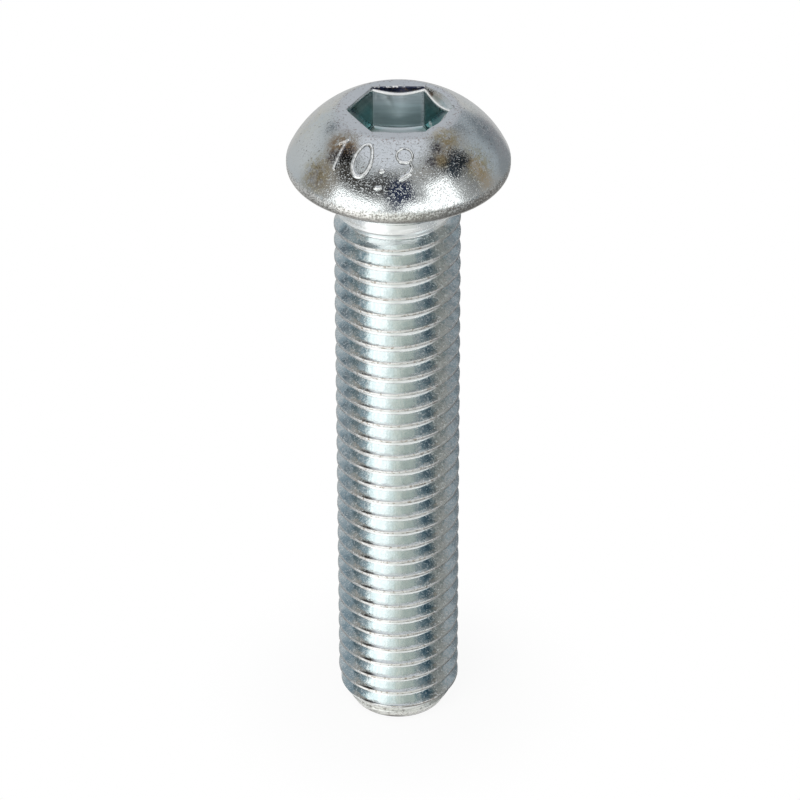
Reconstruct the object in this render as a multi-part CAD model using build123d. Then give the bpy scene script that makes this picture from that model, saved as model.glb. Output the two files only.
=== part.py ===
"""Button head screw, hexagon socket drive, threaded up to the head.

One forged and rolled piece of steel. It stands on its point: the origin is the
centre of the point's flat end, +Z runs up the axis to the head, and two corners
of the hexagon socket lie on the X axis. All sizes are in millimetres.
"""

from build123d import *

import os
from math import cos, radians, tan

# Shank
major_d = 11.8             # over the crests: a 12 mm coarse thread, rolled to a free fit
length = 60.0              # flat end to bearing face
neck_d = 10.86             # the blank before rolling, left bare under the head
neck_length = 3.4          # bearing face to the first crest
neck_bevel = 45            # crests down to the neck, from the axis
point_d = 8.9              # flat end
point_length = 2.5         # bevel from the flat end out to the crests
point_edge_r = 0.5         # soft edge round the flat end

# Head
head_d = 20.6              # over the rim
head_h = 6.4               # bearing face to crown
rim_h = 1.4                # bearing face to the widest line of the head
rim_edge_r = 0.9           # rounding from bearing face to rim
rim_shoulder_r = 1.0       # rounding from rim to dome
dome_r = 9.7               # arc from rim to crown
crown_d = 10.9             # flat ring round the socket
crown_edge_r = 1.0         # soft edge round the crown
neck_fillet_r = 0.7        # root of the head

# Hexagon socket
socket_af = 8.1            # across the flats
socket_depth = 4.3         # crown to the foot of the flats
socket_floor_angle = 140   # cone left by the punch, included
mouth_d = 8.8              # lead-in cone at the crown
mouth_angle = 50           # lead-in cone, included
punch_clear = 1.0          # the punch reaches this far above the crown

crown_z = length + head_h


def turned_blank():
    """The forged blank: point, shank, neck and domed head, turned about the axis."""
    major_r, neck_r, head_r = major_d / 2, neck_d / 2, head_d / 2
    thread_top = length - neck_length
    neck_foot = thread_top + (major_r - neck_r) / tan(radians(neck_bevel))

    below = Polyline(
        (0, 0),
        (point_d / 2, 0),
        (major_r, point_length),
        (major_r, thread_top),
        (neck_r, neck_foot),
        (neck_r, length),
        (head_r, length),
        (head_r, length + rim_h),
    )
    dome = RadiusArc(below @ 1, (crown_d / 2, crown_z), -dome_r)
    above = Polyline(dome @ 1, (0, crown_z), (0, 0))
    section = make_face(below + dome + above)

    rounded = [
        ((point_d / 2, 0), point_edge_r),
        ((neck_r, length), neck_fillet_r),
        ((head_r, length), rim_edge_r),
        ((head_r, length + rim_h), rim_shoulder_r),
        ((crown_d / 2, crown_z), crown_edge_r),
    ]
    for corner, radius in rounded:
        section = fillet(section.vertices().sort_by_distance(Vector(*corner))[0], radius)
    return revolve(Plane.XZ * section, Axis.Z)


def socket_punch():
    """The space of the hexagon socket: a pointed hexagon with a lead-in cone at its mouth."""
    corner_r = socket_af / 2 / cos(radians(30))
    foot_z = crown_z - socket_depth
    tip_z = foot_z - socket_af / 2 / tan(radians(socket_floor_angle / 2))
    prism_top = crown_z + punch_clear
    edge_z = tip_z + corner_r / tan(radians(socket_floor_angle / 2))

    pointed = Polyline((0, tip_z), (corner_r, edge_z), (corner_r, prism_top), (0, prism_top), (0, tip_z))
    rod = revolve(Plane.XZ * make_face(pointed), Axis.Z)
    prism = extrude(Plane.XY.offset(tip_z) * RegularPolygon(corner_r, 6), prism_top - tip_z)

    cone_length = mouth_d / 2 / tan(radians(mouth_angle / 2))
    cone = Polyline((0, crown_z), (mouth_d / 2, crown_z), (0, crown_z - cone_length), (0, crown_z))
    mouth = revolve(Plane.XZ * make_face(cone), Axis.Z)
    return (rod & prism) + mouth


screw = turned_blank() - socket_punch()
screw.label = "screw"

os.makedirs("parts", exist_ok=True)
export_step(screw, "parts/screw.step")
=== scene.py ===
# %% [markdown]
# # A zinc-plated button head screw
# One steel blank, forged at the head and rolled along the shank, then plated with zinc.
# It stands on its point. The origin is the centre of the flat end and +Z runs up to the head.
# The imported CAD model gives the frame, and one finer mesh stands for it here.

from math import acos, asin, cos, degrees, pi, radians, sin, sqrt, tan

import bmesh
import bpy
import numpy as np
from mathutils import Matrix, Vector


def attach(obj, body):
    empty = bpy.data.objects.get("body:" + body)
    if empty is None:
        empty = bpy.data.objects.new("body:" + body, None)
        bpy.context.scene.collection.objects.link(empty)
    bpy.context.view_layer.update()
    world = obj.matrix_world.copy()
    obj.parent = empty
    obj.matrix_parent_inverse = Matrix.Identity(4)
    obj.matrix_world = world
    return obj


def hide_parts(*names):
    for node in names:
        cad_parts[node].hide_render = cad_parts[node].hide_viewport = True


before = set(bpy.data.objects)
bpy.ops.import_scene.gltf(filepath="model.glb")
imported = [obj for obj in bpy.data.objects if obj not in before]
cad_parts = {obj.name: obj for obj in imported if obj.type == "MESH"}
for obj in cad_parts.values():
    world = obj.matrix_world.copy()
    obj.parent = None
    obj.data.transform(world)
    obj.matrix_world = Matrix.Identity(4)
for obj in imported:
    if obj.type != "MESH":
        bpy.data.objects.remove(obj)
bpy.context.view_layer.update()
mm = 0.001

# %% [markdown]
# ## The camera
# A long lens from well back keeps the shank's sides almost parallel. The camera looks down on
# the screw, so the socket opens to the view and each thread flank shows its upper face.

# %% Camera
def add_object(name, data):
    """Puts a new object into the scene."""
    made = bpy.data.objects.new(name, data)
    bpy.context.collection.objects.link(made)
    return made


image_pixels = 800
lens_pixels = 4085
camera_place = Vector((0.21, -324.0, 249.05)) * mm
look_down = radians(33.49)
camera_roll = radians(0.12)

lens = bpy.data.cameras.new("camera")
lens.lens = lens.sensor_width * lens_pixels / image_pixels
lens.clip_start = 0.01
lens.clip_end = 20
camera = add_object("camera", lens)
tilt = Matrix.Rotation(pi / 2 - look_down, 4, "X")
camera.matrix_world = Matrix.Translation(camera_place) @ tilt @ Matrix.Rotation(-camera_roll, 4, "Z")
bpy.context.scene.camera = camera
print("lens in mm", round(lens.lens, 1))

# %% [markdown]
# ## Sums that become nodes
# Both the thread and the plating are worked out with Math nodes. This small class wraps a
# socket, so that a sum can be written as a sum, and each operator adds its own node.

# %% A socket that can be used in a sum
class Value:
    """A node's output socket, ready to be used in a sum."""
    def __init__(self, tree, socket):
        self.tree, self.socket = tree, socket

    def __add__(self, other):
        return self.tree.math("ADD", self, other)

    def __sub__(self, other):
        return self.tree.math("SUBTRACT", self, other)

    def __mul__(self, other):
        return self.tree.math("MULTIPLY", self, other)

    def __truediv__(self, other):
        return self.tree.math("DIVIDE", self, other)

    def __rsub__(self, other):
        return self.tree.math("SUBTRACT", other, self)

    def __rtruediv__(self, other):
        return self.tree.math("DIVIDE", other, self)

    __radd__ = __add__
    __rmul__ = __mul__


print("sockets can be summed")

# %% A tree that adds its own nodes
class Tree:
    """A node tree of either kind, with one method that adds any node to it."""
    def __init__(self, tree):
        self.tree = tree
        self.tree.nodes.clear()

    def node(self, kind, settings=None, inputs=None):
        """Adds a node: its settings first, then the values or links of its sockets."""
        node = self.tree.nodes.new(kind)
        for name, value in (settings or {}).items():
            if name == "knots":
                self.set_knots(node.mapping, value)
            else:
                setattr(node, name, value)
        for name, value in (inputs or {}).items():
            if isinstance(value, Value):
                self.tree.links.new(value.socket, node.inputs[name])
            else:
                node.inputs[name].default_value = value
        return node

    def out(self, kind, settings=None, inputs=None, output=0):
        """Adds a node and returns one of its outputs."""
        return Value(self, self.node(kind, settings, inputs).outputs[output])

    def math(self, operation, *operands):
        return self.out("ShaderNodeMath", {"operation": operation}, dict(enumerate(operands)))

    def smooth_step(self, value, low, high):
        """0 below low, 1 above high, and an S-curve between them."""
        ends = {"Value": value, "From Min": low, "From Max": high}
        return self.out("ShaderNodeMapRange", {"interpolation_type": "SMOOTHSTEP"}, ends)

    def set_knots(self, mapping, knots):
        points = mapping.curves[0].points
        while len(points) < len(knots):
            points.new(1, 1)
        for point, (x, y) in zip(points, knots):
            point.location = (x, y)
            point.handle_type = "VECTOR"
        mapping.update()


print("node helpers ready")

# %% [markdown]
# ## The thread
# Rolling squeezes the blank between grooved dies. Metal flows out of each groove and rises on
# both of its sides, so a crest is two lips that almost meet, with a rough seam between them.
# The shape is a rule: one section, swept round and up. Geometry Nodes follow that rule on a
# grid. One side of the grid is the angle, the other climbs, and the edges meet a turn apart.

# %% Sizes of the thread
pitch_mm = 1.75
pitch = pitch_mm * mm
crest_r = 5.9 * mm
blank_r = 5.43 * mm
root_r = 4.86 * mm
crest_flat = 0.22 * mm
flank_slope = tan(radians(60))
first_crest = 1.02 * mm
thread_foot = 0.25 * mm
thread_top = 57.3 * mm
run_out = 2.3 * mm
root_round = 0.18 * mm
lip_round = 0.10 * mm
lip_lumps = 0.05 * mm
seam_depth = 0.07 * mm
point_r = 4.45 * mm
point_slope = 0.58
point_round = 0.08 * mm
columns = 108
turns = 36

# How far above the crest each row of the grid lies: close together at the crest and the root.
upper_side = [0, 0.05, 0.10, 0.15, 0.20, 0.25, 0.42, 0.58, 0.67, 0.74, 0.80, 0.87]
lower_side = [0, 0.05, 0.10, 0.15, 0.20, 0.25, 0.50, 0.72, 0.80]
stations = [*upper_side, *[pitch_mm - t for t in reversed(lower_side)]]
rows_per_turn = len(stations) - 1
turns_rolled = (thread_top - thread_foot) / pitch
print("rows per turn", rows_per_turn, "triangles about", round(2 * turns_rolled * rows_per_turn * columns))

# %% Helpers for geometry trees
def new_geometry_tree(name, sizes):
    """A modifier's tree with one named input for each size, and a Geometry output."""
    group = bpy.data.node_groups.new(name, "GeometryNodeTree")
    for label, value in sizes.items():
        kinds = {bpy.types.Material: "NodeSocketMaterial", int: "NodeSocketInt"}
        kind = kinds.get(type(value), "NodeSocketFloat")
        group.interface.new_socket(label, in_out="INPUT", socket_type=kind)
    group.interface.new_socket("Geometry", in_out="OUTPUT", socket_type="NodeSocketGeometry")
    tree = Tree(group)
    given = tree.node("NodeGroupInput")
    return tree, {label: Value(tree, given.outputs[label]) for label in sizes}


def evaluate(name, tree, sizes):
    """Runs the tree once on an empty mesh and returns the result as a plain mesh."""
    carrier = add_object(name, bpy.data.meshes.new(name))
    modifier = carrier.modifiers.new(name, "NODES")
    modifier.node_group = tree.tree
    for item in tree.tree.interface.items_tree:
        if item.in_out == "INPUT":
            modifier[item.identifier] = sizes[item.name]
    carrier.update_tag()
    depsgraph = bpy.context.evaluated_depsgraph_get()
    made = bpy.data.meshes.new_from_object(carrier.evaluated_get(depsgraph))
    carrier.modifiers.clear()
    bpy.data.objects.remove(carrier)
    return made


print("geometry helpers ready")

# %% The tree that lays the thread
def new_material(name):
    made = bpy.data.materials.new(name)
    made.use_nodes = True
    return made


plating = new_material("zinc_plating")
thread_sizes = {
    "Pitch": pitch,
    "Crest radius": crest_r,
    "Crest flat": crest_flat,
    "Root radius": root_r,
    "Blank radius": blank_r,
    "First crest": first_crest,
    "Foot": thread_foot,
    "Top": thread_top,
    "Run-out": run_out,
    "Point radius": point_r,
    "Point slope": point_slope,
    "Seam depth": seam_depth,
    "Seam seed": 4.0,
    "Columns": columns,
    "Turns": turns,
    "Finish": plating,
}
thread, size = new_geometry_tree("rolled_thread", thread_sizes)
print("inputs of the thread's tree", len(size))

# %% [markdown]
# ### From the grid to the helix
# A row's height is its turn, plus the climb within the turn, plus the share of a turn that its
# column has gone round. Rows that would start under the foot or end over the top are held
# there. The phase then says how far the point is from the nearest crest, up or down.

# %% Where each point of the grid goes
grid = thread.node("GeometryNodeMeshGrid", inputs={
    "Vertices X": size["Columns"] + 1,
    "Vertices Y": size["Turns"] * rows_per_turn + 1,
})
place = thread.node("ShaderNodeSeparateXYZ", inputs={0: thread.out("GeometryNodeInputPosition")})
around = Value(thread, place.outputs["X"]) + 0.5
row = thread.math("ROUND", (Value(thread, place.outputs["Y"]) + 0.5) * size["Turns"] * rows_per_turn)
turn = thread.math("FLOOR", (row + 0.5) / rows_per_turn)
step = row / rows_per_turn - turn
knots = [(n / rows_per_turn, t / pitch_mm) for n, t in enumerate(stations)]
climb = thread.out("ShaderNodeFloatCurve", {"knots": knots}, {"Value": step})

free_height = size["First crest"] + size["Pitch"] * (turn + climb + around - 2)
height = thread.math("MINIMUM", thread.math("MAXIMUM", free_height, size["Foot"]), size["Top"])
phase = (height - size["First crest"]) / size["Pitch"] - around
above_crest = (phase - thread.math("ROUND", phase)) * size["Pitch"]
from_crest = thread.math("ABSOLUTE", above_crest)
print("thread nodes for places", len(thread.tree.nodes))

# %% [markdown]
# ### The rolled section
# Sixty degree flanks run down from the crest to a round root. The lips of a crest are lumpy, and
# the seam between them is open in some places and closed in others, so streaks of noise that
# run round the screw decide where. Under the neck the groove fades into the blank, and at the
# foot the cone of the point cuts the crests away.

# %% Noise that runs round the screw
angle = around * (2 * pi)
circle = {"X": thread.math("COSINE", angle), "Y": thread.math("SINE", angle)}


def grain_along(scale, seed):
    """Random values that run in streaks round the screw, 0 to 1."""
    spot = thread.out("ShaderNodeCombineXYZ", inputs={**circle, "Z": height * 900})
    settings = {"noise_dimensions": "4D"}
    return thread.out("ShaderNodeTexNoise", settings, {
        "Vector": spot, "W": size["Seam seed"] + seed, "Scale": scale, "Detail": 3.0,
    })


ragged = grain_along(9.0, 0.0)
lumps = grain_along(22.0, 7.0)
print("thread nodes with noise", len(thread.tree.nodes))

# %% The section, and how it fades at both ends
flank = size["Crest radius"] - (from_crest - size["Crest flat"] / 2) * flank_slope
in_groove = thread.math("SMOOTH_MAX", flank, size["Root radius"], root_round)
lip = size["Crest radius"] - (lumps - 0.5) * lip_lumps
section = thread.math("SMOOTH_MIN", in_groove, lip, lip_round)
seam = 1 - thread.smooth_step(from_crest, 0.02 * mm, 0.13 * mm)
open_seam = seam * thread.smooth_step(ragged, 0.35, 0.62)
section = section - open_seam * size["Seam depth"]

full = 1 - thread.smooth_step(height, size["Top"] - size["Run-out"], size["Top"])
body = size["Blank radius"] + (section - size["Blank radius"]) * full
cone = size["Point radius"] + height * size["Point slope"]
radius = thread.math("SMOOTH_MIN", body, cone, point_round)
print("thread nodes with section", len(thread.tree.nodes))

# %% Marks that the plating will read
on_crest = (1 - thread.smooth_step(from_crest, 0.10 * mm, 0.18 * mm)) * full
in_root = thread.smooth_step(from_crest, 0.66 * mm, 0.76 * mm) * full
# A band just above each crest, where the plating paints a dark shade dash.
fold = thread.smooth_step(above_crest, 0.08 * mm, 0.12 * mm)
fold = fold * (1 - thread.smooth_step(above_crest, 0.18 * mm, 0.26 * mm)) * full
under = thread.smooth_step(above_crest * -1, 0.04 * mm, 0.08 * mm)
under = under * (1 - thread.smooth_step(from_crest, 0.12 * mm, 0.19 * mm)) * full
marks = {"crest": on_crest, "seam": open_seam * full, "root": in_root, "fold": fold, "under": under}
print("marks on the thread", *marks)

# %% Moving the grid's points and welding its edges
weld_distance = 0.0005 * mm
marked = Value(thread, grid.outputs["Mesh"])
for name, value in marks.items():
    marked = thread.out("GeometryNodeStoreNamedAttribute", {"data_type": "FLOAT", "domain": "POINT"}, {
        "Geometry": marked, "Name": name, "Value": value,
    })
moved = thread.out("GeometryNodeSetPosition", inputs={
    "Geometry": marked,
    "Position": thread.out("ShaderNodeCombineXYZ", inputs={
        "X": circle["X"] * radius, "Y": circle["Y"] * radius, "Z": height,
    }),
})
welded = thread.out("GeometryNodeMergeByDistance", inputs={"Geometry": moved, "Distance": weld_distance})
shaded = thread.out("GeometryNodeSetShadeSmooth", inputs={"Geometry": welded})
real = thread.out("GeometryNodeRealizeInstances", inputs={"Geometry": shaded})
finished = thread.out("GeometryNodeSetMaterial", inputs={"Geometry": real, "Material": size["Finish"]})
thread.node("NodeGroupOutput", inputs={"Geometry": finished})
thread_mesh = evaluate("rolled_thread", thread, thread_sizes)
print("thread", len(thread_mesh.vertices), "points", len(thread_mesh.polygons), "faces")

# %% [markdown]
# ## The head, the socket and the point
# The rest of the screw is rings of points, one ring for each point of a section. Outside, every
# ring is a circle. In the socket, every ring is the hexagon, so the same columns that run down
# the dome turn over the crown and go on down the flats.

# %% Sections made of arcs
def arc(centre, radius, start, end, steps):
    """Points of an arc in the (r, z) plane. Angles are in degrees above the horizontal."""
    angles = np.radians(np.linspace(start, end, steps + 1))
    return [(centre[0] + radius * cos(a), centre[1] + radius * sin(a)) for a in angles]


def eased(share):
    """Turns a straight ramp from 0 to 1 into an S-curve."""
    return share * share * (3 - 2 * share)


def circle_rings(section):
    """Rings of evenly spaced points, all round, for a list of (r, z)."""
    angles = np.arange(columns) * 2 * pi / columns
    return [np.stack([r * np.cos(angles), r * np.sin(angles), 0 * angles + z], 1) for r, z in section]


print("section helpers ready")

# %% Joining rings to a skin
def ring_quads(rows, wide, first=0):
    """Quads between rings of points, as point numbers that count on from first."""
    quads = []
    for row in range(rows - 1):
        below, above = first + row * wide, first + (row + 1) * wide
        for n in range(wide):
            m = (n + 1) % wide
            quads.append((below + n, below + m, above + m, above + n))
    return quads


def skin(rings, start_pole=None, end_pole=None):
    """Joins rings with quads, and closes an end with a fan to its pole."""
    mesh = bmesh.new()
    made = [mesh.verts.new(point) for ring in rings for point in ring]
    for quad in ring_quads(len(rings), columns):
        mesh.faces.new([made[n] for n in quad])
    for ring, pole in ((made[:columns][::-1], start_pole), (made[-columns:], end_pole)):
        if pole is not None:
            tip = mesh.verts.new(pole)
            for n in range(columns):
                mesh.faces.new((ring[n], ring[(n + 1) % columns], tip))
    return mesh


print("skin helper ready")

# %% Sizes of the head, in millimetres until the parts are joined
bearing_z = 60.0
crown_z = 66.4
head_r = 10.3
neck_r = 5.43
neck_root = 0.7
under_rim = 0.9
shoulder = 1.0
crown_edge = 1.0
neck_z = 58.3
dome_centre = (1.377, 57.598)
dome_r = 9.7
head_shift = 0.115

shoulder_r = head_r - shoulder
inner_r = dome_r - shoulder
shoulder_z = dome_centre[1] + sqrt(inner_r ** 2 - (shoulder_r - dome_centre[0]) ** 2)
crown_edge_z = crown_z - crown_edge
crown_r = dome_centre[0] + sqrt(inner_r ** 2 - (crown_edge_z - dome_centre[1]) ** 2)
dome_low = degrees(asin((shoulder_z - dome_centre[1]) / inner_r))
dome_high = degrees(asin((crown_edge_z - dome_centre[1]) / inner_r))
print("dome runs from", round(dome_low, 1), "to", round(dome_high, 1), "degrees")

# %% [markdown]
# ### The outside of the head
# The die leaves one arc for the dome and soft edges all round it. The head was struck a little
# off the shank's axis, so its rings slide across by degrees from the neck to the bearing face.

# %% Outside of the head
outside = [(neck_r, thread_top / mm), (neck_r, neck_z), (neck_r, 58.9)]
outside += arc((neck_r + neck_root, bearing_z - neck_root), -neck_root, 0, -90, 6)
outside += [(7.0, bearing_z), (8.0, bearing_z), (8.9, bearing_z)]
outside += arc((head_r - under_rim, bearing_z + under_rim), under_rim, -90, 0, 8)
outside += arc((shoulder_r, shoulder_z), shoulder, 0, dome_low, 4)
outside += arc(dome_centre, dome_r, dome_low, dome_high, 26)[1:]
outside += arc((crown_r, crown_edge_z), crown_edge, dome_high, 90, 5)[1:]
head_rings = circle_rings(outside)
for ring in head_rings:
    blend = np.clip((ring[:, 2] - neck_z) / (bearing_z - neck_z), 0, 1)
    ring[:, 0] += head_shift * eased(blend)
print("rings outside", len(head_rings))

# %% [markdown]
# ### The socket
# A hexagon punch drives the socket while the steel is hot or soft, and its pointed end leaves a
# cone at the floor. The mouth has a lead-in that sits off centre, so it is wide on one side and
# fades out on the other. Where it ends, the punch left a narrow ledge above each flat.

# %% Round the hexagon
across_flats = 8.1
corner_round = 0.12
socket_depth = 4.25
floor_half_angle = radians(70)
sector = [0, 0.6, 1.3, 2.6, 5, 9, 14, 19, 24.5]
sector = [*sector, 30, *[60 - a for a in reversed(sector[1:])]]
hex_angles = np.radians([60 * n + a for n in range(6) for a in sector])

corner_centre = (across_flats / 2 - corner_round) / cos(radians(30))
from_corner = (hex_angles + radians(30)) % radians(60) - radians(30)
flat = across_flats / 2 / np.cos(radians(30) - np.abs(from_corner))
off_line = corner_round ** 2 - (corner_centre * np.sin(from_corner)) ** 2
rounded = corner_centre * np.cos(from_corner) + np.sqrt(np.maximum(off_line, 0))
wall_r = np.where(off_line > 0, np.minimum(flat, rounded), flat)
print("hexagon radius", round(wall_r.min(), 3), "to", round(wall_r.max(), 3))

# %% Sides of the mouth
hex_degrees = np.degrees(hex_angles)


def hump(middle, reach):
    """1 at one angle of the mouth, falling to 0 a reach away on both sides. In degrees."""
    return np.clip(1 - ((hex_degrees - middle) / reach) ** 2, 0, 1)


def span(start, end, fade):
    """1 between two angles of the mouth, with a ramp inside each end. In degrees."""
    return np.clip((hex_degrees - start) / fade, 0, 1) * np.clip((end - hex_degrees) / fade, 0, 1)


far_side = hump(90, 33)
right_side = hump(29, 31)
near_side = span(238, 302, 8)
print("columns on the far side", np.count_nonzero(far_side), "and the right", np.count_nonzero(right_side))

# %% How wide and how deep the lead-in is
lead_r = 4.30
lead_offset = (0.15, -0.05)
lead_slope = tan(radians(35))
least_depth = 0.12
far_slope = 0.06
right_slope = 1.15

lead = lead_r + lead_offset[0] * np.cos(hex_angles) + lead_offset[1] * np.sin(hex_angles)
ledge = 0.12 - 0.09 * span(121, 186, 6)
ledge = np.where(hex_degrees < 58, 0.09, ledge)
mouth_r = np.maximum(lead, wall_r + ledge + 0.02)
mouth_depth = np.maximum((mouth_r - wall_r - ledge) / lead_slope, least_depth)
sag = np.maximum(far_side * 0.57, right_side * 0.50)
mouth_depth = np.where(sag > 0, least_depth + sag, mouth_depth)
mouth_r = np.where(far_side > 0, wall_r + ledge + mouth_depth * far_slope, mouth_r)
mouth_r = np.where(right_side > 0, np.maximum(mouth_r, wall_r + ledge + mouth_depth * right_slope), mouth_r)
ledge_drop = np.where(far_side > 0, 0.17, 0.08)
print("lead-in", round(mouth_depth.min(), 2), "to", round(mouth_depth.max(), 2), "mm deep")

# %% Rings of the mouth
edge = 0.04


def hex_ring(radius, height, even=0.0):
    """A ring on the hexagon's angles; even slides its points towards even spacing."""
    evenly = np.arange(columns) * 2 * pi / columns
    angles = hex_angles + (evenly - hex_angles) * even
    x = radius * np.cos(angles) + head_shift
    return np.stack([x, radius * np.sin(angles), 0 * angles + height], 1)


socket_rings = [
    hex_ring(crown_r + (mouth_r - crown_r) * 0.30, crown_z, 0.7),
    hex_ring(crown_r + (mouth_r - crown_r) * 0.65, crown_z, 0.3),
    hex_ring(mouth_r + 0.12, crown_z),
    hex_ring(mouth_r + 0.04, crown_z - 0.005),
    hex_ring(mouth_r, crown_z - edge),
]
ledge_r = wall_r + ledge
for down in (0.35, 0.7, 0.92):
    socket_rings.append(hex_ring(mouth_r + (ledge_r - mouth_r) * down, crown_z - edge - mouth_depth * down))
print("rings of the mouth", len(socket_rings))

# %% Rings of the ledge, the flats and the floor
ledge_z = crown_z - edge - mouth_depth
wall_top = 0.28
floor_tip = crown_z - socket_depth - across_flats / 2 / tan(floor_half_angle)
socket_rings += [
    hex_ring(wall_r + ledge * 0.75, ledge_z - 0.006),
    hex_ring(wall_r + ledge * 0.3, ledge_z - ledge_drop * 0.4),
    hex_ring(wall_r, ledge_z - ledge_drop),
    hex_ring(wall_r, ledge_z - wall_top),
]
foot_z = floor_tip + wall_r / tan(floor_half_angle)
for down in (0.35, 0.65, 0.9, 0.98):
    socket_rings.append(hex_ring(wall_r, ledge_z - wall_top + (foot_z - ledge_z + wall_top) * down))
for inwards in (0.985, 0.9, 0.6, 0.3, 0.1):
    radius = wall_r * inwards
    socket_rings.append(hex_ring(radius, floor_tip + radius / tan(floor_half_angle)))
print("rings in the socket", len(socket_rings))

# %% The head as one skin
head = skin([*head_rings, *socket_rings], end_pole=(head_shift, 0, floor_tip + 0.05))
stroke_layer = head.verts.layers.float.new("stroke")
ledge_highlight_layer = head.verts.layers.float.new("ledge")
mouth_shade_layer = head.verts.layers.float.new("mouth")
head.verts.ensure_lookup_table()
print("head", len(head.verts), "points")

# %% Where the ledge gets a painted highlight and the mouth is painted dark
def paint(layer, ring, values):
    """Sets a layer on one ring of the socket, counted from the crown inwards."""
    first = (len(head_rings) + ring) * columns
    for n in range(columns):
        head.verts[first + n][layer] = values[n]


# Ring 3 is the edge of the mouth, 4 to 7 are the lead-in, and 7 to 10 the ledge.
# The ledge layer is a painted highlight along the ledge, strongest on the right and far sides.
ledge_highlight_share = np.where(hex_degrees < 180, np.clip((124 - hex_degrees) / 6, 0.1, 1), 0.3)
for ring, share in ((7, 0.4), (8, 1.0), (9, 1.0), (10, 0.6)):
    paint(ledge_highlight_layer, ring, ledge_highlight_share * share)
# The mouth layer is a painted dark reflection in the far lead-in, and a painted shade line on the near
# edge.
for ring in (4, 5, 6, 7):
    paint(mouth_shade_layer, ring, np.clip(far_side * 5, 0, 1))
paint(mouth_shade_layer, 3, near_side * 0.8)
# Random bright flecks on the far side of the mouth's edge are a painted highlight.
highlight_fleck_draws = np.random.default_rng(7).random(columns)
paint(ledge_highlight_layer, 3, np.where(highlight_fleck_draws > 0.62, np.clip(far_side * 3, 0, 1), 0))
print("highlight_fleck_draws", np.count_nonzero(highlight_fleck_draws > 0.62))

# %% [markdown]
# ### The number on the dome
# A screw head carries its strength class, raised by the forging die. The faces of the dome
# are cut finer under the number only, then each point is put back on the dome's arc and
# lifted by its distance from the nearest stroke. That keeps the rest of the head light.

# %% Strokes of the number, in millimetres round and up the dome
text_r = 8.3


def ellipse(centre, half_width, half_height, start, end, steps):
    angles = np.radians(np.linspace(start, end, steps + 1))
    return [(centre[0] + half_width * cos(a), centre[1] + half_height * sin(a)) for a in angles]


# Each is half its width and its line. The last one is a small blister below the number.
strokes = [
    (0.11, [(-6.95, 9.16), (-6.28, 9.78)]),
    (0.07, [(-6.40, 9.58), (-6.04, 6.92)]),
    (0.08, ellipse((-3.60, 8.50), 0.90, 1.60, 0, 360, 28)),
    (0.08, ellipse((-1.52, 7.74), 0.10, 0.10, 0, 360, 8)),
    (0.02, ellipse((0.64, 9.28), 0.84, 0.70, -55, 305, 22) + [(1.30, 8.10), (0.95, 7.52)]),
    (0.07, ellipse((0.64, 9.28), 0.84, 0.70, 235, 300, 8)),
    (0.10, [(0.95, 7.52), (0.22, 7.04)]),
    (0.07, [(-1.83, 6.15), (-1.50, 6.20)]),
]
stroke_edge = 0.11
stroke_height = 0.085
number_left, number_right = -7.6, 2.4
number_low, number_high = 5.9, 10.6
finer_beside = 0.38
print("strokes", len(strokes))

# %% Cutting the dome finer under the number
def distance_to(half, line, x, y):
    nearest = 9.0
    for (ax, ay), (bx, by) in zip(line, line[1:]):
        dx, dy = bx - ax, by - ay
        along = min(max(((x - ax) * dx + (y - ay) * dy) / (dx * dx + dy * dy), 0), 1)
        nearest = min(nearest, sqrt((x - ax - along * dx) ** 2 + (y - ay - along * dy) ** 2))
    return nearest - half


def dome_place(point):
    """Where a point of the dome is: angle from the front, and angle up the dome's arc."""
    x = point.x - head_shift
    out = np.hypot(x, point.y)
    return np.arctan2(x, -point.y), np.arctan2(point.z - dome_centre[1], out - dome_centre[0])


def under_number(face):
    middle = face.calc_center_median()
    around_dome, up_dome = dome_place(middle)
    x, y = around_dome * text_r, up_dome * dome_r
    if middle.z < shoulder_z or face.normal.z < 0.3:
        return False
    if not (number_left < x < number_right and number_low < y < number_high):
        return False
    return min(distance_to(*stroke, x, y) for stroke in strokes) < finer_beside


head.normal_update()
for lying, cuts in ((True, 7), (False, 4)):
    patch = [face for face in head.faces if under_number(face)]
    edges = {edge for face in patch for edge in face.edges}
    to_cut = [e for e in edges if (abs(e.verts[0].co.z - e.verts[1].co.z) < 1e-4) == lying]
    bmesh.ops.subdivide_edges(head, edges=to_cut, cuts=cuts, use_grid_fill=True)
    head.normal_update()
number_points = {v for face in head.faces if under_number(face) for v in face.verts}
print("points under the number", len(number_points))

# %% Lifting the strokes
for vert in number_points:
    around_dome, up_dome = dome_place(vert.co)
    x, y = around_dome * text_r, up_dome * dome_r
    beside = min(distance_to(*stroke, x, y) for stroke in strokes)
    lift = min(max(1 - beside / stroke_edge, 0), 1)
    out = dome_r + stroke_height * eased(lift)
    if up_dome > radians(dome_high):
        continue
    ring_r = dome_centre[0] + out * cos(up_dome)
    vert.co.x = ring_r * sin(around_dome) + head_shift
    vert.co.y = -ring_r * cos(around_dome)
    vert.co.z = dome_centre[1] + out * sin(up_dome)
    vert[stroke_layer] = lift
print("number raised by", stroke_height, "mm")

# %% [markdown]
# ### The point
# The blank's end is cut square and bevelled before rolling. The screw stands on the flat end, and
# the first crests die out on the bevel.

# %% The point
flat_edge = 0.5
cone_angle = degrees(acos(1 / sqrt(1 + point_slope ** 2)))
tangent = flat_edge * tan(radians((90 - cone_angle) / 2))
foot_r = point_r / mm - tangent
bevel = arc((foot_r, flat_edge), flat_edge, -90, -cone_angle, 5)
foot_section = [(0.9, 0), (2.4, 0), (3.6, 0), *bevel]
foot_section += [((point_r + thread_foot * point_slope) / mm, thread_foot / mm)]
point = skin(circle_rings(foot_section), start_pole=(0, 0, 0))
print("point", len(point.verts), "points", [round(v, 3) for v in foot_section[-2]])

# %% [markdown]
# ## One piece
# The thread, the head and the point share their end rings, so welding them closes the skin.

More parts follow.
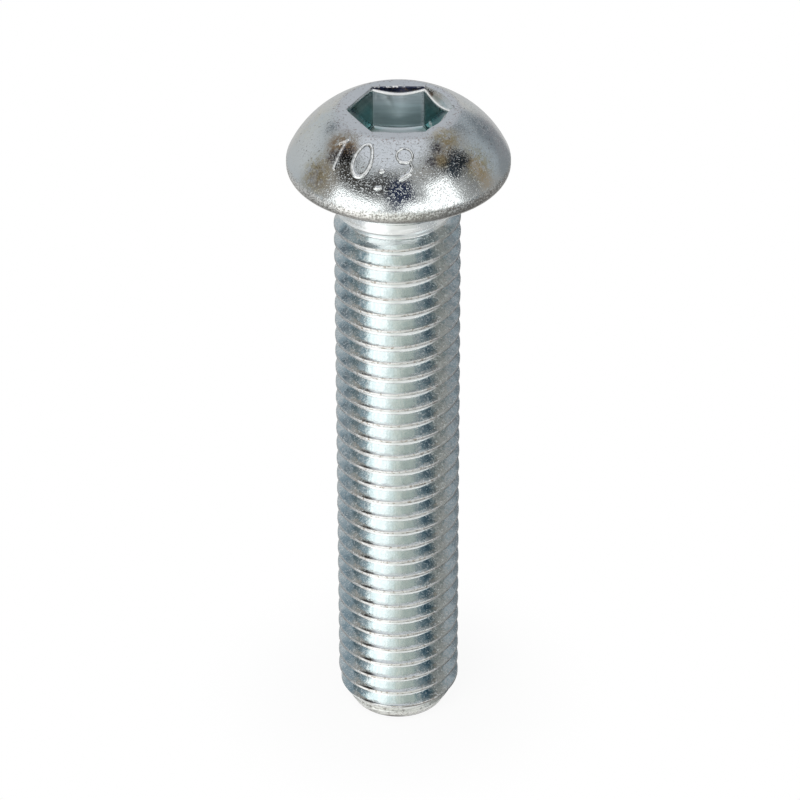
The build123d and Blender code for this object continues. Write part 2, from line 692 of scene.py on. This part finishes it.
# %% Joining
join_distance = 0.002 * mm
whole = bmesh.new()
whole.from_mesh(thread_mesh)
for part in (head, point):
    bmesh.ops.scale(part, vec=(mm, mm, mm), verts=part.verts)
    part_mesh = bpy.data.meshes.new("part")
    part.to_mesh(part_mesh)
    whole.from_mesh(part_mesh)
    part.free()
    bpy.data.meshes.remove(part_mesh)
bmesh.ops.remove_doubles(whole, verts=whole.verts, dist=join_distance)
bmesh.ops.recalc_face_normals(whole, faces=whole.faces)
for face in whole.faces:
    face.smooth = True
open_edges = [edge for edge in whole.edges if not edge.is_manifold]
screw_mesh = bpy.data.meshes.new("plated_screw")
whole.to_mesh(screw_mesh)
volume = whole.calc_volume()
whole.free()
print("open edges", len(open_edges), "volume mm3", round(volume / mm ** 3, 1))

# %% The screw as an object
screw_mesh.materials.clear()
screw_mesh.materials.append(plating)
for polygon in screw_mesh.polygons:
    polygon.material_index = 0
screw = add_object("plated_screw", screw_mesh)
triangles = sum(len(polygon.vertices) - 2 for polygon in screw_mesh.polygons)
for name in (*marks, "stroke", "ledge", "mouth"):
    layer = screw_mesh.attributes[name].data
    print(name, "on", sum(item.value > 0.5 for item in layer), "points")
print("triangles", triangles)

# %% [markdown]
# ## The zinc plating
# Bright zinc with a clear blue passivation: a metal with a faint cool tint. The head came from a
# forging die with a fine orange peel. Flats of the thread are burnished by the rolling dies,
# while the seam along each crest stays rough and holds a little tan residue.
# One material covers the whole screw, because the real plating does. Masks, each 0 to 1, say where a finish
# or a mark is, and some of the marks are painted light and shade. They read places on the screw itself and
# the attributes that were stored with its mesh, so every mark stays where it is when the screw is turned.

# %% The plating as nodes
finish = Tree(plating.node_tree)
ramp = finish.smooth_step
spot = finish.out("ShaderNodeTexCoord", output="Object")


def tally(what):
    """Prints how far the tree has grown."""
    print("plating nodes with", what, len(plating.node_tree.nodes))


def own(name):
    """One of the mesh's own attributes, 0 to 1."""
    return finish.out("ShaderNodeAttribute", {"attribute_name": name}, output="Fac")


def vector(operation, *operands, output="Vector"):
    inputs = dict(enumerate(operands))
    return finish.out("ShaderNodeVectorMath", {"operation": operation}, inputs, output=output)


def noise(place, scale, detail, roughness):
    values = {"Vector": place, "Scale": scale, "Detail": detail, "Roughness": roughness}
    return finish.out("ShaderNodeTexNoise", inputs=values)


def grain(scale, detail=2.0, roughness=0.5):
    """Noise in the piece's own space; scale is in patches per metre."""
    return noise(spot, scale, detail, roughness)


tally("helpers")

# %% Mixing masks and colours
def mix_colour(factor, low, high):
    """Mixes two colours, each an RGB triple or a colour that is already mixed."""
    low, high = [c if isinstance(c, Value) else (*c, 1) for c in (low, high)]
    values = {"Factor": factor, 6: low, 7: high}
    return finish.out("ShaderNodeMix", {"data_type": "RGBA"}, values, output=2)


def either(*masks):
    """The strongest of several masks."""
    strongest = masks[0]
    for mask in masks[1:]:
        strongest = finish.math("MAXIMUM", strongest, mask)
    return strongest


def capped(mask):
    """A sum of masks, held at 1."""
    return finish.math("MINIMUM", mask, 1.0)


def near(place, inner, outer):
    """1 inside a ball of the inner radius, fading to 0 at the outer one. All in mm."""
    away = vector("DISTANCE", spot, tuple(v * mm for v in place), output="Value")
    return 1 - ramp(away, inner * mm, outer * mm)


print("mask helpers ready")

# %% [markdown]
# ### Places on the screw
# No picture is wrapped round the screw. Where a mark goes is worked out from the point itself:
# how high it is, how far from the axis, and which way it faces. That needs no unwrapping, and a
# mark stays on its metal from every side.

# %% Where a point is
where = finish.node("ShaderNodeSeparateXYZ", inputs={0: spot})
across = Value(finish, where.outputs["X"])
deep = Value(finish, where.outputs["Y"])
up = Value(finish, where.outputs["Z"])
level = vector("MULTIPLY", spot, (1, 1, 0))
out = vector("LENGTH", level, output="Value")
azimuth = finish.math("ARCTAN2", across, finish.math("MULTIPLY", deep, -1.0))


def above(low, high):
    """0 below one height and 1 above the other, in mm."""
    return ramp(up, low * mm, high * mm)


def beyond(low, high):
    """0 closer to the axis than one radius and 1 past the other, in mm."""
    return ramp(out, low * mm, high * mm)


def facing(middle, inner, outer, waver=0.0):
    """1 where the surface faces an angle from the front, fading to 0, in degrees."""
    away = finish.math("ABSOLUTE", azimuth - radians(middle) + waver)
    return 1 - ramp(away, radians(inner), radians(outer))


tally("places")

# %% The regions of the screw
crest, seam, root, fold, under = [own(name) for name in marks]
stroke, ledge_highlight, mouth = [own(name) for name in ("stroke", "ledge", "mouth")]
on_head = above(59.8, 60.6)
on_shank = 1 - on_head
in_hole = on_head * (1 - beyond(4.55, 4.7)) * (1 - above(66.0, 66.3))
above_foot = above(62.05, 62.25)
in_socket = in_hole * above_foot
cone_floor = in_hole * (1 - above_foot)
outside_head = on_head - in_hole
on_dome = outside_head * (1 - stroke)
on_crown = on_head * above(66.20, 66.38)
on_point = 1 - above(1.7, 2.4)
neck_line = 1 - ramp(finish.math("ABSOLUTE", up - thread_top), 0.03 * mm, 0.08 * mm)
on_neck = above(55.5, 56.4) * (1 - above(59.5, 60.0)) * (1 - neck_line * 0.8)
off_middle = 1 - facing(-6, 20, 30)
# Towards the shank's sides, where the lips get painted shade.
painted_side_shade = 1 - facing(0, 34, 58)
to_right_side = ramp(azimuth, radians(-4), radians(10))
tally("regions")

# %% [markdown]
# ### Textures of the metal
# Forging leaves a fine orange peel on the dome, rolling leaves streaks that run round the shank
# along each flank, and the punch leaves bands across the socket's walls. Each is noise in the
# piece's own space, stretched along the way that the tool left its marks.

# %% Textures of the metal
peel = grain(11000, 0.0)
dimples = ramp(grain(6500, 1.0), 0.57, 0.70)
waves = grain(2600, 1.0)
rolls = grain(700, 1.0)
specks = grain(3400, 3.0, 0.7)
patchy = ramp(grain(1800, 3.0, 0.75), 0.38, 0.58)
bands = noise(vector("MULTIPLY", spot, (260, 260, 2300)), 1.0, 2.0, 0.6)
rolled_round = vector("MULTIPLY", vector("NORMALIZE", level), (20, 20, 0))
rolled_across = finish.out("ShaderNodeCombineXYZ", inputs={"Z": (up - out * 0.7) * 4500})
streaks = noise(vector("ADD", rolled_round, rolled_across), 1.0, 2.0, 0.6)
# Rolling streaks, painted as a darker teal reflection that grows stronger away from the front.
streak_and_reflection = ramp(streaks, 0.44, 0.60) * on_shank * (0.25 + off_middle * 0.75)
# Glint is light specks on the shank away from the front, a painted highlight.
glint = ramp(grain(4800, 1.0), 0.57, 0.67) * off_middle * on_shank * 0.5
tally("textures")

# %% [markdown]
# ### The passivation film, painted shade and painted reflections
# The film over the zinc is too thin to see on open faces. In the socket, where the bath drains slowly, it
# is thicker and greener, and it is painted darker on the side walls and low on the walls as shade in the
# hole. The shank has two lengthwise strips of painted dark reflection, one on the left and one right of the
# front, stronger towards the foot.

# %% The film in the socket with painted shade, and painted reflections along the shank
side_wall = ramp(finish.math("ABSOLUTE", across - head_shift * mm), 2.35 * mm, 2.7 * mm)
off_near_wall = ramp(deep, -3.6 * mm, -2.8 * mm)
socket_tint_and_shade = in_socket * (1 - above(64.2, 65.4) * 0.75) * either(off_near_wall, side_wall)
banded = ramp(bands, 0.40, 0.60) * in_socket
painted_low_wall_shade = in_socket * (1 - above(62.6, 65.0)) * (1 - side_wall)
painted_darker_low = 1 - above(8, 50) * 0.6
painted_left_reflection = facing(-64, 7, 17) * on_shank * (1 - crest)
painted_left_reflection = painted_left_reflection * (0.7 + ramp(rolls, 0.42, 0.58) * 0.3)
painted_right_reflection = facing(33, 2, 10) * painted_darker_low * on_shank * (1 - crest)
painted_right_reflection = painted_right_reflection * (0.45 + ramp(rolls, 0.40, 0.55) * 0.55)
tally("film")

# %% [markdown]
# ### Dirt and painted shade
# Dirt stays where a finger doesn't rub: as grit on the rim and round the crown. The underside of the head,
# the lower band of the rim, the right side of the rim and the foot's lower edge are darkened as painted
# shade. Noise moves the edge of each of these places up and down, so it looks left there and not drawn.

# %% Dirt and painted shade on the rim, the crown and the foot
rim_line = up + (specks - 0.5) * 1.2 * mm
on_rim = outside_head * (1 - ramp(rim_line, 61.2 * mm, 61.7 * mm))
# Painted shade under the head, and on the rim's lower band.
painted_underhead_shade = outside_head * (1 - above(60.5, 61.0))
painted_rim_underside_shade = 1 - above(60.4, 61.3)
# Painted shade: more of the rim's dark grit towards the right.
painted_rim_right_shade = ramp(across, -2 * mm, 8 * mm) * on_rim * 0.07
residue = ramp(specks + painted_rim_right_shade, 0.53, 0.62)
rim_grain_and_shade = ramp(grain(5600, 2.0, 0.7) + painted_rim_right_shade, 0.44, 0.62)
# Painted shade along the foot's lower edge, reaching higher at the front.
painted_foot_shade = 1 - ramp(up + (specks - 0.5) * 0.5 * mm, 0.15 * mm, 0.45 * mm)
painted_foot_shade = painted_foot_shade + facing(-5, 6, 14) * (1 - above(0.3, 0.6))
pits = ramp(grain(4200, 2.0, 0.6), 0.63, 0.69) * outside_head * above(62.4, 63.6) * 0.7
crown_dirt = beyond(5.0, 5.4) * (1 - beyond(5.8, 6.2)) * on_head
crown_dirt = crown_dirt * ramp(grain(5200, 3.0, 0.7), 0.56, 0.61) * 0.75
tally("dirt")

# %% [markdown]
# ### Stains, painted light and painted dark reflections
# Plating baths leave tan and brown stains where they dry last. The dome's left is painted lighter, with a
# cream painted highlight, and near-black patches on the dome are painted dark reflections. Each stain is a
# few round spots, broken up by noise so that none of them has an edge.

# %% Stains, painted light and painted dark reflections on the head
brown = near((-5.15, -4.83, 65.40), 0.4, 2.0) + near((-4.14, -5.74, 65.40), 0.1, 1.1)
brown = (brown + near((3.90, -6.60, 65.10), 0.1, 1.4) * 0.6) * patchy
straw = near((-7.30, -5.85, 62.99), 0.5, 2.7) + near((4.39, -4.58, 65.98), 0.3, 2.1)
straw = (straw + near((7.28, -5.40, 63.64), 0.4, 2.7)) * patchy
straw = straw + near((4.05, -6.85, 64.90), 0.2, 1.0)
# Painted light: a cream highlight and a paler patch on the dome's left.
painted_cream_highlight = near((-7.6, 1.0, 64.2), 1.0, 4.2) * patchy
painted_light_left = near((-8.3, -2.0, 63.2), 1.2, 3.8) * on_dome
pink = near((8.7, 0.2, 63.2), 1.0, 3.6) * patchy
# Painted dark reflections: near-black patches on the dome.
painted_dark_reflection = (near((3.50, -5.86, 65.66), 0.1, 0.8) + near((3.03, -7.13, 64.95), 0.1, 0.8)) * 1.4
painted_dark_reflection = painted_dark_reflection + near((-4.50, -5.75, 65.15), 0.4, 1.2) + near((-5.80, -5.60, 64.60), 0.2, 1.1)
painted_dark_reflection = painted_dark_reflection + near((5.55, -6.10, 64.45), 0.3, 1.5) * 0.8 + near((-7.3, -5.9, 62.6), 0.5, 2.0) * 0.4
painted_dark_reflection = capped(painted_dark_reflection) * ramp(grain(5200, 2.0, 0.7), 0.40, 0.55)
burn = near((2.98, 3.22, 66.1), 0.24, 0.42) * (0.7 + specks * 0.7)
tally("stains")

# %% [markdown]
# ### Marks, painted shade and painted highlights
# Dark lines beside and under the crests, at the top of the point's bevel and at the thread's end are
# painted shade, and so is the outline of the number. A grey band on the shank is a painted reflection, and
# bright marks on the ledge, the neck, the number, the roots and the mouth's edge are painted highlights.
# Each mark is where it can be, times how broken up it is.

# %% Painted highlights, painted shade and a painted reflection
# Painted shade: dark lines beside the crests, under them, at the bevel's top and at the thread's end.
painted_shade_dash = fold * facing(-31, 1.5, 11, (specks - 0.5) * 0.12) * on_shank * (1 - above(25, 56) * 0.6)
painted_shade_under_crest = under * (0.25 + to_right_side * 0.6) * (0.6 + ramp(specks, 0.4, 0.6) * 0.4)
painted_shade_bevel_top = above(2.1, 2.25) * (1 - above(2.4, 2.55)) * facing(20, 12, 20)
painted_shade_lines = either(painted_shade_dash, painted_shade_under_crest, painted_shade_bevel_top * 0.8, neck_line * (0.3 + streak_and_reflection * 0.4))
# Painted reflection: a grey band down the right side of the shank.
painted_grey_reflection = facing(48, 4, 9, (specks - 0.5) * 0.25) * on_shank
# Painted shade round the number's strokes, and a painted highlight on their tops.
painted_number_shade = ramp(stroke, 0.04, 0.3) * (1 - ramp(stroke, 0.4, 0.75))
painted_number_highlight = ramp(stroke, 0.45, 0.9) * (0.35 + ramp(specks, 0.42, 0.56) * 0.4)
# Painted highlights: flecks on the mouth's edge, the ledge, the neck, the roots and a glint on a socket
# wall.
painted_edge_flecks = mouth * above(66.22, 66.32) * ramp(specks, 0.50, 0.56)
wall_glint = near((3.05, 3.0, 63.05), 0.12, 0.5) * ramp(specks, 0.40, 0.52)
dull = either(crest, on_point * 0.8, on_rim)
painted_highlights = either(ledge_highlight, on_neck * 0.75, painted_number_highlight, root * to_right_side * 0.85, painted_edge_flecks, wall_glint)
tally("marks")

# %% [markdown]
# ### Colour, layer over layer
# Each layer is mixed over what is there already, by its mask: clean zinc and its film first, then stains,
# the dull places, and the marks last of all. Painted reflections, painted light and painted shade lie among
# these layers.

# %% Colour of clean zinc and its film, with painted reflections and painted shade
zinc = mix_colour(ramp(grain(220), 0.35, 0.65), (0.77, 0.81, 0.81), (0.79, 0.83, 0.83))
zinc = mix_colour(streak_and_reflection * 0.7, zinc, (0.50, 0.63, 0.66))
# Painted dark reflections: a strip on the left of the shank and one right of the front.
zinc = mix_colour(painted_left_reflection * (0.6 + painted_darker_low * 0.4), zinc, (0.34, 0.45, 0.50))
zinc = mix_colour(painted_right_reflection * 0.85, zinc, (0.25, 0.39, 0.46))
# The socket's greener film, with painted shade: darker on the side walls and low on the walls.
zinc = mix_colour(socket_tint_and_shade, zinc, mix_colour(side_wall, (0.62, 0.74, 0.74), (0.33, 0.56, 0.58)))
zinc = mix_colour(painted_low_wall_shade * 0.30, zinc, (0.34, 0.43, 0.41))
zinc = mix_colour(banded * 0.32, zinc, (0.36, 0.45, 0.44))
tally("zinc")

# %% Colour of the stains, the painted light and the painted reflections
stains = [
    (painted_light_left * 0.8, (0.90, 0.91, 0.88)),
    (painted_cream_highlight * 0.55, (0.86, 0.84, 0.72)),
    (pink * 0.45, (0.84, 0.74, 0.76)),
    (capped(straw) * 0.9, (0.60, 0.54, 0.35)),
    (capped(brown) * 0.92, (0.41, 0.30, 0.18)),
    (painted_dark_reflection * 0.92, (0.13, 0.12, 0.14)),
    (crown_dirt, (0.38, 0.30, 0.27)),
    (capped(pits + burn), (0.17, 0.13, 0.10)),
    # Painted highlight: the thread's roots are lightened.
    (root * 0.8, (0.92, 0.93, 0.92)),
]
for mask, colour in stains:
    zinc = mix_colour(mask, zinc, colour)
print("stains", len(stains))

# %% Colour of the lips, the bevel and the rim
lip = mix_colour(residue, (0.80, 0.80, 0.78), (0.42, 0.37, 0.31))
lip = mix_colour(ramp(seam, 0.55, 0.95) * 0.7, lip, (0.36, 0.33, 0.30))
# Painted shade: the lips are darker towards the shank's sides.
lip = mix_colour(painted_side_shade * 0.7, lip, (0.42, 0.44, 0.45))
scuffed = ramp(streaks, 0.48, 0.62) * 0.6
bevel_face = mix_colour(scuffed, (0.74, 0.74, 0.69), (0.45, 0.45, 0.42))
bevel_face = mix_colour(residue, bevel_face, (0.28, 0.26, 0.23))
lip = mix_colour(on_point * on_shank, lip, bevel_face)
# Painted shade: the rim is darker in its lower band and towards the right.
rim = mix_colour(painted_rim_underside_shade, (0.82, 0.82, 0.79), (0.60, 0.59, 0.55))
rim = mix_colour(rim_grain_and_shade * 0.85, rim, (0.17, 0.16, 0.14))
zinc = mix_colour(dull, zinc, mix_colour(on_head, lip, rim))
tally("dull places")

# %% Colour of the marks, painted shade, reflections and highlights, which lie over all the rest
shadow = mix_colour(residue, (0.06, 0.065, 0.12), (0.22, 0.15, 0.12))
over = [
    # Painted shade under the head and at the foot, then the mouth painted dark.
    (painted_underhead_shade * 0.6 + painted_foot_shade, (0.18, 0.17, 0.16)),
    (mouth, shadow),
    (painted_grey_reflection * 0.7, (0.47, 0.49, 0.46)),
    (painted_number_shade * 0.6, (0.27, 0.27, 0.26)),
    (painted_shade_lines, (0.06, 0.055, 0.05)),
    (painted_highlights, (0.97, 0.98, 0.97)),
    (glint, (0.86, 0.89, 0.89)),
]
for mask, colour in over:
    zinc = mix_colour(mask, zinc, colour)
print("marks", len(over))

# %% [markdown]
# ### How it shines
# Clean zinc is nearly a mirror. Dirt and the rough lips of the crests hide the metal and scatter
# the light, and the cone that the punch left at the floor is rougher than the flats.

# %% How metallic and how rough
metal = 1 - dull * 0.28 - painted_highlights * 0.75 - (painted_grey_reflection + glint) * (1 - dull) * 0.3
rough = 0.09 + dull * 0.25 + (waves - 0.5) * 0.05 + painted_highlights * 0.10 + on_shank * 0.035 + root * 0.3
rough = rough + painted_grey_reflection * 0.15 + glint * 0.4 + cone_floor * 0.3 - on_dome * 0.03 + on_crown * 0.36
tally("roughness")

# %% [markdown]
# ### Relief too fine for the mesh
# Orange peel, rolling streaks and grit stand a few thousandths of a millimetre high. A bump
# tilts the shading for them, which costs no triangles.

# %% Fine relief, and the shader
forged = (peel * 0.75 - dimples * 1.2) * on_dome
rolled = (rolls * 4.5 + streaks * 1.3) * on_shank
heights = forged + rolled + bands * in_socket * 0.6 + grain(5500) * dull * 3.0
bump = finish.out("ShaderNodeBump", inputs={"Height": heights, "Strength": 1.0, "Distance": 0.01 * mm})
shader = finish.out("ShaderNodeBsdfPrincipled", inputs={
    "Base Color": zinc, "Metallic": metal, "Roughness": rough, "Normal": bump,
})
finish.node("ShaderNodeOutputMaterial", inputs={"Surface": shader})
print("plating nodes", len(plating.node_tree.nodes))

# %% [markdown]
# ## Floor, world and lamps
# A plain white floor and a white world, which both glow white to the camera. Only close round
# the foot does the floor keep a tenth of the screw's shadow.

# %% Floor
floor_mesh = bpy.data.meshes.new("floor")
reach = 4.0
corners = [(-reach, -reach, 0), (reach, -reach, 0), (reach, reach, 0), (-reach, reach, 0)]
floor_mesh.from_pydata(corners, [], [(0, 1, 2, 3)])
floor = add_object("floor", floor_mesh)
print("floor", 2 * reach, "m across")

# %% White paper that glows to the eye and is matt to the lamps
paper = new_material("white_paper")
floor_mesh.materials.append(paper)
white = (1, 1, 1, 1)
sheet = Tree(paper.node_tree)


def seen_rays(tree):
    """1 for rays that see the background: camera, glossy and transmission rays."""
    rays = tree.node("ShaderNodeLightPath")
    seen = Value(tree, rays.outputs["Is Camera Ray"]) + Value(tree, rays.outputs["Is Glossy Ray"])
    return seen + Value(tree, rays.outputs["Is Transmission Ray"])


glow = sheet.out("ShaderNodeEmission", inputs={"Color": white, "Strength": 1.0})
matt = sheet.out("ShaderNodeBsdfDiffuse", inputs={"Color": (0.9, 0.9, 0.9, 1)})
from_foot = sheet.out("ShaderNodeVectorMath", {"operation": "LENGTH"}, {
    0: sheet.out("ShaderNodeTexCoord", output="Object"),
}, output="Value")
shadow_share = 0.10
far_white = (1 - shadow_share) + sheet.smooth_step(from_foot, 7 * mm, 22 * mm) * shadow_share
glowing = sheet.math("MINIMUM", seen_rays(sheet), 1.0) * far_white
mixed = sheet.out("ShaderNodeMixShader", inputs={0: glowing, 1: matt, 2: glow})
sheet.node("ShaderNodeOutputMaterial", inputs={"Surface": mixed})
print("floor nodes", len(paper.node_tree.nodes))

# %% World
world = bpy.data.worlds.new("world")
world.use_nodes = True
bpy.context.scene.world = world
air = Tree(world.node_tree)
strength = 0.55 + air.math("MINIMUM", seen_rays(air), 1.0) * 0.45
light = air.out("ShaderNodeBackground", inputs={"Color": white, "Strength": strength})
air.node("ShaderNodeOutputWorld", inputs={"Surface": light})
print("world nodes", len(world.node_tree.nodes))

# %% [markdown]
# ### What the metal shows
# Bare metal has hardly any colour of its own: it shows the room. A tent of grey cloth stands
# round the screw, with white and dark cards hung in it. Only the metal sees the tent, so it
# hides nothing from the camera and throws no shadow.

# %% Cards in the tent
def grey(level, warm=0.0):
    """A grey card; warm above 0 is browner, below 0 bluer."""
    return (level * (1 + warm), level, level * (1 - warm))


# Azimuth 0 is the camera's side and 90 is to the right: middle, half size, soft edge, colour.
side_cloth = grey(0.40)
cards = [
    (180, 36, 48, 26, 14, (0.53, 0.54, 0.59)),
    (180, 0, 28, 12, 12, grey(0.58, 0.03)),
    (-132, 14, 24, 16, 12, grey(0.53, -0.05)),
    (-136, 30, 5, 5, 5, grey(0.20, -0.08)),
    (-112, 46, 12, 12, 10, grey(0.32, 0.08)),
    (-86, 22, 17, 14, 8, grey(0.30, 0.08)),
    (126, 14, 26, 20, 12, grey(0.40, -0.08)),
    (140, 2, 12, 20, 10, grey(0.22, -0.10)),
    (134, 36, 7, 7, 6, grey(0.24, -0.08)),
    (121, 44, 10, 8, 8, grey(0.32)),
    (97, 15, 8, 20, 8, grey(0.30, 0.16)),
    (95, 53, 26, 7, 6, grey(0.27, 0.14)),
    (88, 60, 30, 3, 4, grey(0.18, -0.04)),
    (84, 40, 19, 10, 6, grey(0.04, -0.25)),
    (83, 20, 7, 12, 6, grey(0.24)),
    (-41, 7, 26, 17, 3, grey(1.6)),
    (34, 14, 29, 11, 3, grey(1.5)),
    (47, 31, 15, 9, 3, grey(1.45)),
    (-3, 12, 6, 10, 6, grey(0.75)),
    (-84, 46, 16, 8, 4, grey(0.015, 0.08)),
    (-56, 38, 24, 7, 4, grey(0.05, 0.10)),
    (-22, 42, 24, 10, 5, grey(0.07, 0.03)),
    (-54, 53, 16, 5, 5, grey(0.56, -0.03)),
    (-15, 54, 14, 4, 5, grey(0.16)),
    (28, 53, 26, 5, 6, grey(0.33, 0.04)),
    (58, 50, 8, 8, 6, grey(0.20, 0.04)),
    (2, 38, 14, 12, 5, (0.025, 0.035, 0.07)),
    (-1, 24, 4, 9, 6, (0.06, 0.07, 0.11)),
]
overhead = (-90, 84, 27, 4, (0.68, 0.69, 0.74))
horizon = (1, 4)
print("cards", len(cards))

# %% Cards below the horizon
# Each is its azimuth, half width, soft edge and colour.
low_cards = [
    (180, 30, 14, grey(0.56)),
    (136, 20, 10, grey(0.26, -0.06)),
    (-128, 22, 12, grey(0.50, -0.05)),
    (-100, 10, 8, grey(0.36)),
    (100, 12, 6, grey(0.30, 0.04)),
    (70, 18, 4, grey(0.165, -0.17)),
    (42, 13, 16, grey(0.36, -0.05)),
    (16, 16, 14, (0.56, 0.59, 0.55)),
    (-4, 10, 12, (0.84, 0.85, 0.79)),
    (-24, 14, 12, (1.15, 1.20, 1.18)),
    (-45, 21, 8, grey(1.65)),
    (-77, 8, 5, grey(0.44, -0.12)),
]
near_behind = (180, 46, 12, grey(0.95, 0.02))
print("low cards", len(low_cards))

# %% Ways from the screw to the tent
def soft_box(distance, half, soft):
    """1 inside a card, 0 outside it, and a ramp across its soft edge."""
    return eased(np.clip((half + soft / 2 - distance) / soft, 0, 1))


def hang(colours, cover, colour):
    return colours * (1 - cover[..., None]) + np.array(colour) * cover[..., None]


def turned_from(azimuth, middle):
    return np.abs((azimuth - middle + 180) % 360 - 180)


def way_to(azimuth, elevation):
    """Directions from the screw, for angles in degrees. Azimuth 0 is the camera's side."""
    a, e = np.radians(azimuth), np.radians(elevation)
    return np.stack([np.sin(a) * np.cos(e), -np.cos(a) * np.cos(e), np.sin(e) + 0 * a], -1)


tent_step = 1.5
azimuths = np.arange(-180, 180, tent_step)
elevations = np.arange(-15, 90.1, tent_step)
azimuth_grid, elevation_grid = np.meshgrid(azimuths, elevations)
ways = way_to(azimuth_grid, elevation_grid)
print("ways", ways.shape)

# %% Hanging the cards
low_colours = np.ones((len(azimuths), 3)) * side_cloth
for middle, half, soft, colour in low_cards:
    low_colours = hang(low_colours, soft_box(turned_from(azimuths, middle), half, soft), colour)
middle, half, soft, colour = near_behind
near_colours = hang(low_colours, soft_box(turned_from(azimuths, middle), half, soft), colour)

lid_azimuth, lid_elevation, lid_radius, lid_soft, lid_colour = overhead
lid_way = way_to(lid_azimuth, lid_elevation)
from_lid = np.degrees(np.arccos(np.clip(ways @ lid_way, -1, 1)))
colours = np.ones((*azimuth_grid.shape, 3)) * side_cloth
colours = hang(colours, soft_box(from_lid, lid_radius, lid_soft), lid_colour)
for middle, height, half_width, half_height, soft, colour in cards:
    cover = soft_box(turned_from(azimuth_grid, middle), half_width, soft)
    colours = hang(colours, cover * soft_box(np.abs(elevation_grid - height), half_height, soft), colour)
colours = hang(colours, soft_box(elevation_grid, *horizon), low_colours)
print("colours", colours.shape)

# %% The tent's points, and the sheet under it
tent_radius = 0.25
tent_height = 0.063
sheet_height = 0.0004
sheet_radii = [0.0065, 0.03, 0.08, 0.11, tent_radius * 0.99]
wide = len(azimuths)

tent_points = (ways * tent_radius + (0, 0, tent_height)).reshape(-1, 3)
tent_points[:, 2] = np.maximum(tent_points[:, 2], sheet_height)
floor_ways = way_to(azimuths, 0)
sheet_points = [floor_ways * radius + (0, 0, sheet_height) for radius in sheet_radii]
tent_faces = ring_quads(len(elevations), wide) + ring_quads(len(sheet_radii), wide, len(tent_points))
tent_points = np.vstack([tent_points, *sheet_points])
all_colours = np.vstack([colours.reshape(-1, 3), *[near_colours] * 3, *[low_colours] * 2])
print("tent", len(tent_points), "points")

# %% The tent as an object that only the metal sees
tent_mesh = bpy.data.meshes.new("tent")
tent_mesh.from_pydata(tent_points.tolist(), [], tent_faces)
cloth = tent_mesh.attributes.new("cloth", "FLOAT_COLOR", "POINT")
cloth.data.foreach_set("color", np.hstack([all_colours, np.ones((len(all_colours), 1))]).ravel())
tent = add_object("tent", tent_mesh)
tent.visible_camera = tent.visible_diffuse = tent.visible_shadow = False
tent_cloth = new_material("tent_cloth")
tent_mesh.materials.append(tent_cloth)
weave = Tree(tent_cloth.node_tree)
shade = weave.out("ShaderNodeAttribute", {"attribute_name": "cloth"}, output="Color")
lit = weave.out("ShaderNodeEmission", inputs={"Color": shade, "Strength": 1.0})
weave.node("ShaderNodeOutputMaterial", inputs={"Surface": lit})
print("tent nodes", len(tent_cloth.node_tree.nodes))

# %% [markdown]
# ### The lamp
# The tent lights nothing but the metal, so one large soft lamp shapes the matt places: the dirt,
# the rim and the floor's shadow. The metal doesn't show it.

# %% Lamps
lamp_aim = 0.035


def lamp(name, azimuth, elevation, distance, width, power):
    """A square soft lamp that faces the middle of the screw."""
    light = bpy.data.lights.new(name, "AREA")
    light.size = width
    light.energy = power
    made = add_object(name, light)
    way = Vector(way_to(azimuth, elevation))
    made.location = Vector((0, 0, lamp_aim)) + way * distance
    made.rotation_mode = "QUATERNION"
    made.rotation_quaternion = way.to_track_quat("Z", "Y")
    made.visible_glossy = False


lamp("key", azimuth=-18, elevation=42, distance=1.0, width=0.9, power=6.0)
print("lamps", len(bpy.data.lights))

# %% [markdown]
# ## The part in its frame
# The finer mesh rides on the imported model's one body and stands for its one node.

# %% Frame calls
bpy.context.scene.view_settings.view_transform = "Standard"
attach(screw, "root")
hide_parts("screw")
print("rides on root")
